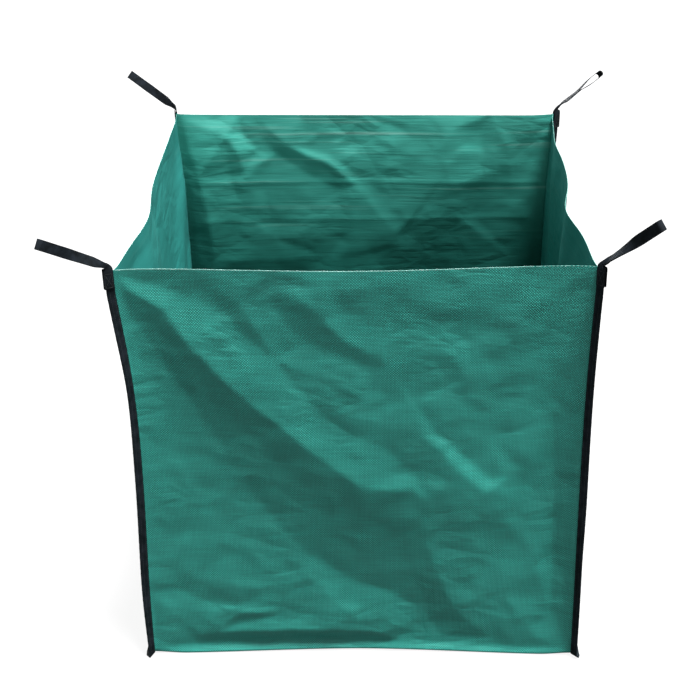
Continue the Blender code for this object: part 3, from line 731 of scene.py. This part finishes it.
# Side panels
# Two squares of the same cloth, about 0.94 by 0.92 m. Each is sewn in along its
# front, bottom and back edges, and its top edge is left free as the rim, which
# sags in where nothing holds it.
LEFT_FOLDS = (
    ("ridge", (0.28, 1.05), (0.32, 0.35), (0.140, 0.100), -0.0200, 0.0),
    ("facet", (0.95, 0.90), (0.35, 0.15), (0.030, 0.110), 0.0120, 0.030),
)
RIGHT_FOLDS = (
    ("ridge", (0.32, 1.05), (0.36, 0.45), (0.115, 0.090), -0.0230, 0.0),
    ("ridge", (0.79, 1.05), (0.70, 0.70), (0.085, 0.070), -0.0070, 0.0),
    ("facet", (0.05, 0.70), (0.65, 0.12), (0.030, 0.100), 0.0110, -0.030),
)
PANEL_CRUMPLES = ((0.090, 3.0), (0.040, 0.7))
CRUMPLE_SOFTENING = 2
PANEL_WALL_ROWS = 120
PANEL_BASE_ROWS = 114


def side_panel(side, folds, seed):
    """Points, quads and two kinds of places of a side panel with its turned-out edges."""
    path, fins = seam_line(side, PANEL_WALL_ROWS, PANEL_BASE_ROWS)
    corner = PANEL_WALL_ROWS + 1
    front_run = path[:corner + 1]
    base_run = path[corner:len(path) - corner]
    back_run = path[len(path) - corner - 1:][::-1]
    row_count, column_count = len(front_run), len(base_run)
    across = (base_run[:, 1] + BAG_DEPTH / 2) / BAG_DEPTH
    across[0], across[-1] = 0.0, 1.0
    across = across[None, :]
    panel = front_run[:, None, :] * (1 - across[..., None]) + back_run[:, None, :] * across[..., None]
    height = np.maximum(front_run[:, 2] - SEAM_LIFT, 0.0)[:, None] / (BAG_HEIGHT - SEAM_LIFT)
    near = np.minimum(across, 1 - across) * BAG_DEPTH
    pressed = crumple(across, height, BAG_DEPTH, BAG_HEIGHT, PANEL_CRUMPLES, seed)
    relief = fold_relief(folds, across, height, BAG_DEPTH, BAG_HEIGHT)
    relief = relief + soften(pressed, CRUMPLE_SOFTENING)
    relief = relief * smooth(near / EDGE_BLEND) * smooth(height * BAG_HEIGHT / EDGE_BLEND)
    relief = relief + edge_dish(near, height, BAG_HEIGHT)
    panel[..., 0] += side * relief
    sag = smooth(np.minimum(across, 1 - across) * 2)
    panel[..., 2] -= RIM_SAG * sag * smooth((height - SAG_FROM) / (1 - SAG_FROM))
    panel[-1] = base_run
    turned = seam_normal(path, fins, side) * (-LAYER_GAP / 2)
    spots = np.arange(row_count * column_count).reshape(row_count, column_count)
    edge = np.concatenate([spots[:, 0], spots[-1, 1:-1], spots[::-1, -1]])
    points = panel.reshape(-1, 3)
    points[edge] = path + turned
    quads = [grid_quads(row_count, column_count)]
    fin_points = [path + turned + fins * FIN_CLOTH * step for step in fin_steps[1:]]
    half_ring = len(points) + np.arange(len(edge))
    full_ring = half_ring + len(edge)
    for inner, outer in ((edge, half_ring), (half_ring, full_ring)):
        quads.append(np.stack([inner[:-1], inner[1:], outer[1:], outer[:-1]], axis=1)[:, ::-1])
    places = np.stack([points[:, 1] + BAG_DEPTH / 2, points[:, 2]], axis=-1)
    below_rim = np.broadcast_to(BAG_HEIGHT * (1 - height), spots.shape).ravel()
    rim = np.stack([places[:, 0] / BAG_DEPTH, below_rim], axis=-1)
    places, rim = [np.concatenate([flat, flat[edge], flat[edge]]) for flat in (places, rim)]
    return np.concatenate([points, *fin_points]), np.concatenate(quads), places, rim


PANEL_INSIDE_GREEN = (0.021, 0.178, 0.160, 1.0)
panel_inside = coated_inside("teal_coated_panel_inside", PANEL_INSIDE_GREEN, streaks=0.3, painted_light=0.15)
for side, name, folds, seed in ((-1, "left_side", LEFT_FOLDS, 41), (1, "right_side", RIGHT_FOLDS, 57)):
    points, quads, places, rim = side_panel(side, folds, seed)
    facing = np.zeros((len(quads), 3))
    facing[:(PANEL_WALL_ROWS - 1) * PANEL_BASE_ROWS, 0] = side
    panel_cloth = cloth_shell(
        name + "_cloth", points, quads, CLOTH_THICKNESS, facing, places, rim, (outside_cloth, panel_inside),
    )
    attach(panel_cloth, "root")
    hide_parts(name + "_panel")


# Seam bindings
# Black woven polypropylene tape, 38 mm wide, folded lengthwise over each turned-out
# seam and sewn through all the layers. It runs from the front rim down to the
# floor, back along the floor and up to the back rim.
TAPE_THICKNESS = 0.0007
TAPE_INNER_FACE = 0.00105
TAPE_CLEAR_OF_WALL = 0.0018
TAPE_FOLD = 0.0183
TAPE_WALL_ROWS = 180
TAPE_BASE_ROWS = 120
TAPE_BLACK = (0.0022, 0.0046, 0.0056, 1.0)
# A painted glint on the crowns of the tape's ribs
TAPE_GLINT = (0.031, 0.036, 0.048, 1.0)
TAPE_RIB = 0.0011
RIB_DEPTH = 0.0004
CORD_PER_RIB = 1.6
# The sewing puckers the tape in waves: height, length and start of each. The edges
# move out by the whole height, the fold the other way and the faces apart.
PUCKERS = ((0.00018, 0.021, 0.0), (0.00015, 0.0133, 1.0))
PUCKERED_EDGE = 0.007
FOLD_PUCKER = -0.6
FACE_PUCKER = 0.4
STITCH_ROWS = (0.0048, 0.0125)
STITCH_LENGTH = 0.0042
THREAD_RADIUS = 0.00018
THREAD_LIFT = 0.00006
THREAD_BLACK = (0.008, 0.010, 0.011, 1.0)
THREAD_GLINT = (0.050, 0.056, 0.058, 1.0)
PLY_DEPTH = 0.0001
ROWS_UNDER_STRAPS = 9


def black_tape(name, colour, rib, glint):
    """Ribbed black tape: fine cords across its width, with a painted glint on some rib crowns."""
    material = bpy.data.materials.new(name)
    nodes = Nodes(material)
    place = nodes.place("weave")
    across, along = nodes.parts(place)
    ribs = nodes.ripple(along, math.pi / rib)
    cords = nodes.ripple(across, math.pi / (rib * CORD_PER_RIB))
    height = nodes.weigh(ribs, (cords, 0.6))
    # Patches of painted glint on the rib crowns; the roughness follows the same patches
    painted_light = nodes.noise(place, scale=45.0, detail=4.0)
    light = nodes.times(nodes.math("SUBTRACT", painted_light, 0.35), nodes.times(height, 0.9))
    relief = nodes.bump(height, 0.6, RIB_DEPTH)
    nodes.surface(nodes.mix(light, colour, glint), relief, nodes.weigh(0.50, (painted_light, 0.25)), gloss=0.05)
    return material


tape_material = black_tape("black_binding_tape", TAPE_BLACK, TAPE_RIB, TAPE_GLINT)
# Across the tape, from one edge over the fold to the other: how far out from the
# seam, and how far over to which face of the fin
tape_faces = (TAPE_CLEAR_OF_WALL, 0.006, 0.012)
fold_turns = [math.pi / 2 * step / 3 for step in range(-3, 4)]
fold_out = TAPE_FOLD - TAPE_INNER_FACE
tape_profile = [(out, 1.0) for out in tape_faces]
tape_profile += [(fold_out + TAPE_INNER_FACE * math.cos(turn), -math.sin(turn)) for turn in fold_turns]
tape_profile += [(out, -1.0) for out in reversed(tape_faces)]


def stitches(name, runs, pitch, radius, material):
    """Short stitches of round thread that dip into the cloth at both ends.

    Each run is a line of points with the way out of the cloth at each.
    """
    # Share of the pitch, lift and thickness of each ring, these two in thread radii
    rings = ((0.06, -0.9, 0.7), (0.22, 0.5, 1.0), (0.72, 0.5, 1.0), (0.88, -0.9, 0.7))
    sides = 6
    turns = np.arange(sides) * 2 * math.pi / sides
    points, quads, caps = [], [], []
    for line, outs in runs:
        run = length_along(line)
        for start in np.arange(int(run[-1] / pitch)) * pitch:
            at = [start + share * pitch for share, _, _ in rings]
            centres = np.stack([np.interp(at, run, line[:, axis]) for axis in range(3)], axis=-1)
            out = unit(np.array([np.interp(at[1], run, outs[:, axis]) for axis in range(3)]))
            along = unit(centres[-1] - centres[0])
            across = np.cross(along, out)
            ring = np.cos(turns)[:, None] * across + np.sin(turns)[:, None] * out
            base = len(points) * sides
            for centre, (_, lift, size) in zip(centres, rings):
                points.append(centre + out * (lift * radius) + ring * (radius * size))
            last_ring = base + (len(rings) - 1) * sides
            for low in range(base, last_ring, sides):
                for corner in range(sides):
                    after = (corner + 1) % sides
                    high = low + sides
                    quads.append((low + corner, low + after, high + after, high + corner))
            caps.append(tuple(reversed(range(base, base + sides))))
            caps.append(tuple(range(last_ring, last_ring + sides)))
    mesh = bpy.data.meshes.new(name)
    mesh.from_pydata(np.concatenate(points).tolist(), [], quads + caps)
    mesh.shade_smooth()
    mesh.materials.append(material)
    mesh.update()
    return put_in_scene(name, mesh)


thread_material = bpy.data.materials.new("black_thread")
nodes = Nodes(thread_material)
spun = nodes.noise(nodes.add("ShaderNodeTexCoord").outputs["Object"], scale=1600.0, detail=1.0)
thread_tone = nodes.mix(spun, THREAD_BLACK, THREAD_GLINT)
nodes.surface(thread_tone, nodes.bump(spun, 0.6, PLY_DEPTH), roughness=0.5, gloss=0.25)

for side, name in ((-1, "left_seam"), (1, "right_seam")):
    path, fins = seam_line(side, TAPE_WALL_ROWS, TAPE_BASE_ROWS)
    square = seam_normal(path, fins, side)
    run = length_along(path)
    pucker = sum(size * np.sin(run * 2 * math.pi / wave + start) for size, wave, start in PUCKERS)
    columns = []
    for out, face in tape_profile:
        reach = out + (pucker if out < PUCKERED_EDGE else pucker * FOLD_PUCKER)
        half = TAPE_INNER_FACE * face + np.sign(face) * np.abs(pucker) * FACE_PUCKER
        columns.append(path + fins * reach[:, None] + square * half[:, None])
    tape_grid = np.stack(columns, axis=1)
    widths = length_along(np.array(tape_profile) * (1.0, TAPE_INNER_FACE))
    places = grid_places(widths, run)
    quads = grid_quads(len(path), len(tape_profile))
    facing = np.zeros((len(quads), 3))
    facing[::len(tape_profile) - 1] = square[:-1]
    binding = cloth_shell(
        name + "_tape", tape_grid.reshape(-1, 3), quads, TAPE_THICKNESS, facing, places, places,
        (tape_material, tape_material),
    )
    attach(binding, "root")
    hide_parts(name + "_binding")
    clear_of_straps = slice(ROWS_UNDER_STRAPS, len(path) - ROWS_UNDER_STRAPS)
    rows_of_thread = []
    for out in STITCH_ROWS:
        for face in (1, -1):
            ways = square[clear_of_straps] * face
            line = path[clear_of_straps] + fins[clear_of_straps] * out
            rows_of_thread.append((line + ways * (TAPE_OUTER_FACE + THREAD_LIFT), ways))
    thread = stitches(name + "_stitches", rows_of_thread, STITCH_LENGTH, THREAD_RADIUS, thread_material)
    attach(thread, "root")


# Lifting loops
# Four straps of black webbing, 20 mm wide. Each is folded in half at its tip, and
# its two ends lie on the two faces of the bound seam at a top corner, sewn down
# through everything.
STRAP_WIDTH = 0.020
STRAP_THICKNESS = 0.0012
STRAP_CLEAR_OF_WALL = 0.0023
LEG_LENGTH = 0.036
RISE_ABOVE_RIM = 0.0050
BEND_RADIUS = 0.0090
LOOP_REACH = 0.165
LOOP_GAPE = 0.0120
BEND_PINCH = 0.55
# The two plies are partly shut at the rim and close early in the bend, which also
# takes up a share of the first twist
SHUT_AT_RIM = 0.65
SHUT_SOON = 3
TWIST_AT_BEND = 0.4
LEG_ROWS = 9
BEND_STEPS = 12
STRAIGHT_STEPS = 40
TIP_STEPS = 10
STRAP_COLUMNS = 9
WEBBING_BLACK = (0.0030, 0.0040, 0.0046, 1.0)
# A painted glint on the crowns of the webbing's ribs
WEBBING_GLINT = (0.024, 0.032, 0.044, 1.0)
WEBBING_RIB = 0.0013
BOX_STITCH_LENGTH = 0.0027
BOX_THREAD_RADIUS = 0.00024
STRAP_MIDDLE = TAPE_OUTER_FACE + LAYER_GAP + STRAP_THICKNESS / 2
# Each loop as it hangs: its rise over the level in degrees, its share of the reach,
# and its twist in degrees near the root and near the tip
LOOPS = {
    "front_left": {"rise": 32, "reach": 0.985, "twist": (36, 8)},
    "front_right": {"rise": 42.5, "reach": 1.0, "twist": (61, 2)},
    "back_left": {"rise": 14, "reach": 1.06, "twist": (-19, -40)},
    "back_right": {"rise": 17, "reach": 0.98, "twist": (68, 50)},
}


def loop_stations(name):
    """Places along the folded strap: middle, way across, half gap, pinch and twist."""
    corner, loop = CORNERS[name], LOOPS[name]
    ends = corner_line(name, np.array([BAG_HEIGHT, BAG_HEIGHT - LEG_LENGTH]))
    top, foot = Vector(ends[0]), Vector(ends[1])
    fin = Vector(corner_fin(name, np.array([BAG_HEIGHT]))[0])
    upward = (top - foot).normalized()
    level = Vector((corner["side"], corner["end"], 0)).normalized()
    above = Vector((0, 0, 1))
    middle_of_strap = STRAP_CLEAR_OF_WALL + STRAP_WIDTH / 2
    closed_half = LAYER_GAP / 2 + STRAP_THICKNESS / 2
    open_half = LOOP_GAPE / 2 + STRAP_THICKNESS / 2
    rim_half = STRAP_MIDDLE * (1 - SHUT_AT_RIM) + closed_half * SHUT_AT_RIM
    turn = math.pi / 2 - math.radians(loop["rise"])
    first_twist, last_twist = loop["twist"]
    bend_twist = first_twist * TWIST_AT_BEND
    # The twist, the half gap and the pinch at some shares along the straight
    twists = ((0.0, bend_twist), (0.15, first_twist), (0.80, last_twist))
    gaps = ((0.42, closed_half), (0.85, open_half))
    pinches = ((0.0, BEND_PINCH), (0.20, 1.0))
    stations = []
    for step in range(LEG_ROWS):
        spot = foot.lerp(top, step / (LEG_ROWS - 1)) + fin * middle_of_strap
        stations.append((spot, fin, STRAP_MIDDLE, 1.0, 0.0))
    start = stations[-1][0] + upward * RISE_ABOVE_RIM
    stations.append((start, fin, rim_half, 1.0, 0.0))
    for step in range(1, BEND_STEPS + 1):
        share = step / BEND_STEPS
        angle = turn * share
        spot = start + level * (BEND_RADIUS * (1 - math.cos(angle)))
        spot = spot + above * (BEND_RADIUS * math.sin(angle))
        heading = level * math.sin(angle) + above * math.cos(angle)
        width_way = (level * math.cos(angle) - above * math.sin(angle)).lerp(fin, 1 - share)
        shut = float(smooth(share * SHUT_SOON))
        half = rim_half + (closed_half - rim_half) * shut
        pinch = 1 - (1 - BEND_PINCH) * math.sin(math.pi * share / 2)
        stations.append((spot, width_way, half, pinch, bend_twist * float(smooth(share))))
    root, flat_way = stations[-1][:2]
    straight = loop["reach"] * LOOP_REACH - open_half
    for step in range(1, STRAIGHT_STEPS + 1):
        share = step / STRAIGHT_STEPS
        spot = root + heading * (straight * share)
        half, pinch, twist = (float(blend_between(pairs, share)) for pairs in (gaps, pinches, twists))
        stations.append((spot, flat_way, half, pinch, twist))
    for step in range(1, TIP_STEPS + 1):
        angle = math.pi / 2 * step / TIP_STEPS
        spot = root + heading * (straight + open_half * math.sin(angle))
        stations.append((spot, flat_way, open_half * math.cos(angle), 1.0, last_twist))
    return stations


def strap_grid(name):
    """Middle surface of one strap, from one end over the tip to the other end."""
    side, end = CORNERS[name]["side"], CORNERS[name]["end"]
    stations = loop_stations(name)
    shares = np.linspace(-1.0, 1.0, STRAP_COLUMNS)
    first_ply, second_ply = [], []
    for index, (spot, width_way, half, pinch, twist) in enumerate(stations):
        before = stations[max(index - 1, 0)][0]
        after = stations[min(index + 1, len(stations) - 1)][0]
        heading = (after - before).normalized()
        across = (width_way - heading * width_way.dot(heading)).normalized()
        across = Matrix.Rotation(math.radians(twist * side * end), 3, heading) @ across
        facing = heading.cross(across).normalized()
        row = [spot + across * (share * STRAP_WIDTH / 2 * pinch) for share in shares]
        first_ply.append([place + facing * half for place in row])
        second_ply.append([place - facing * half for place in row])
    return np.array(first_ply + second_ply[-2::-1])


# Each leg is sewn down with a box and a cross in it: the corners as shares across
# and up the leg, and the corners that each line of stitches joins
BOX_CORNERS = ((0.14, 0.08), (0.86, 0.08), (0.86, 0.86), (0.14, 0.86))
BOX_LINES = ((0, 1), (1, 2), (2, 3), (3, 0), (0, 2), (1, 3))
webbing = black_tape("black_webbing", WEBBING_BLACK, WEBBING_RIB, WEBBING_GLINT)
for name in LOOPS:
    grid = strap_grid(name)
    run = length_along(grid[:, STRAP_COLUMNS // 2])
    places = grid_places(np.linspace(0.0, STRAP_WIDTH, STRAP_COLUMNS), run)
    quads = grid_quads(len(grid), STRAP_COLUMNS)
    facing = np.cross(grid[:-1, 1:] - grid[:-1, :-1], grid[1:, :-1] - grid[:-1, :-1]).reshape(-1, 3)
    shift = unit(np.cross(np.gradient(grid, axis=1), np.gradient(grid, axis=0))) * (STRAP_THICKNESS / 2)
    strap = cloth_shell(
        name + "_strap", (grid - shift).reshape(-1, 3), quads, STRAP_THICKNESS, facing, places, places,
        (webbing, webbing),
    )
    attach(strap, "root")
    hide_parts(name + "_loop")
    rows_of_thread = []
    first_leg, last_leg = grid[:LEG_ROWS], grid[::-1][:LEG_ROWS]
    middle_spot = (LEG_ROWS // 2, STRAP_COLUMNS // 2)
    for leg, other_leg in ((first_leg, last_leg), (last_leg, first_leg)):
        out = unit(leg[middle_spot] - other_leg[middle_spot])
        spots = []
        for across, along in BOX_CORNERS:
            foot_spot = leg[0, 0] * (1 - across) + leg[0, -1] * across
            top_spot = leg[-1, 0] * (1 - across) + leg[-1, -1] * across
            spot = foot_spot * (1 - along) + top_spot * along
            spots.append(spot + out * (STRAP_THICKNESS / 2 + THREAD_LIFT))
        for first, last in BOX_LINES:
            rows_of_thread.append((np.array([spots[first], spots[last]]), np.array([out, out])))
    thread = stitches(
        name + "_stitches", rows_of_thread, BOX_STITCH_LENGTH, BOX_THREAD_RADIUS, thread_material,
    )
    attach(thread, "root")


# Floor, light and camera
# The bag stands on a white studio floor. One large soft lamp is nearly overhead, a
# little to the front right, a weak one is in front and one behind, and white walls
# fill the shadows.
FLOOR_HALF = 20
FLOOR_GREY = (0.08, 0.08, 0.08, 1.0)
FLOOR_GLOW = 0.90
WHITE = (1.0, 1.0, 1.0, 1.0)
ROOM_LIGHT = 0.21
# Each lamp: strength, width in degrees and the way towards it
LAMPS = {
    "high_lamp": (13.5, 16, (0.215, -0.115, 0.970)),
    "front_lamp": (0.45, 24, (-0.08, -0.95, 0.30)),
    "back_lamp": (2.2, 24, (-0.12, 0.95, 0.28)),
}
CAMERA_PLACE = (0.0836, -3.0183, 2.0566)
CAMERA_YAW = math.radians(-2.11)
CAMERA_PITCH = math.radians(27.28)
CAMERA_ROLL = math.radians(-1.13)
CAMERA_LENS = 77.8

floor_corners = [(x * FLOOR_HALF, y * FLOOR_HALF, 0) for x, y in ((-1, -1), (1, -1), (1, 1), (-1, 1))]
floor_mesh = bpy.data.meshes.new("studio_floor")
floor_mesh.from_pydata(floor_corners, [], [(0, 1, 2, 3)])
floor = put_in_scene("studio_floor", floor_mesh)
floor_material = bpy.data.materials.new("white_floor")
nodes = Nodes(floor_material)
nodes.tree.nodes.clear()
seen = nodes.add("ShaderNodeLightPath").outputs["Is Camera Ray"]
paint = nodes.add("ShaderNodeBsdfDiffuse", {"Color": FLOOR_GREY})
glow = nodes.add("ShaderNodeEmission", {"Color": WHITE, "Strength": FLOOR_GLOW})
seen_floor = nodes.add("ShaderNodeAddShader", {0: paint.outputs[0], 1: glow.outputs[0]})
either = nodes.add("ShaderNodeMixShader", {0: seen, 1: paint.outputs[0], 2: seen_floor.outputs[0]})
nodes.add("ShaderNodeOutputMaterial", {"Surface": either.outputs[0]})
floor_mesh.materials.append(floor_material)

world = bpy.data.worlds.new("white_studio")
bpy.context.scene.world = world
nodes = Nodes(world)
nodes.tree.nodes.clear()
ray = nodes.add("ShaderNodeLightPath").outputs
direct = nodes.math("MAXIMUM", ray["Is Camera Ray"], ray["Is Glossy Ray"])
direct = nodes.math("MAXIMUM", direct, ray["Is Transmission Ray"])
room = nodes.add("ShaderNodeBackground", {"Color": WHITE, "Strength": ROOM_LIGHT})
white = nodes.add("ShaderNodeBackground", {"Color": WHITE, "Strength": 1.0})
backdrop = nodes.add("ShaderNodeMixShader", {0: direct, 1: room.outputs[0], 2: white.outputs[0]})
nodes.add("ShaderNodeOutputWorld", {"Surface": backdrop.outputs[0]})

for name, (strength, width, toward) in LAMPS.items():
    light = bpy.data.lights.new(name, "SUN")
    light.energy = strength
    light.angle = math.radians(width)
    lamp = put_in_scene(name, light)
    lamp.rotation_euler = Vector(toward).to_track_quat("Z", "Y").to_euler()

camera_data = bpy.data.cameras.new("camera")
camera_data.lens = CAMERA_LENS
camera_data.sensor_width = 36.0
camera = put_in_scene("camera", camera_data)
level_right = Vector((math.cos(CAMERA_YAW), -math.sin(CAMERA_YAW), 0))
forward = Vector((
    math.sin(CAMERA_YAW) * math.cos(CAMERA_PITCH), math.cos(CAMERA_YAW) * math.cos(CAMERA_PITCH),
    -math.sin(CAMERA_PITCH),
))
level_up = level_right.cross(forward)
right = level_right * math.cos(CAMERA_ROLL) + level_up * math.sin(CAMERA_ROLL)
upright = level_up * math.cos(CAMERA_ROLL) - level_right * math.sin(CAMERA_ROLL)
turned = Matrix((right, upright, -forward)).transposed()
camera.matrix_world = Matrix.Translation(CAMERA_PLACE) @ turned.to_4x4()
bpy.context.scene.camera = camera
bpy.context.scene.view_settings.view_transform = "Standard"
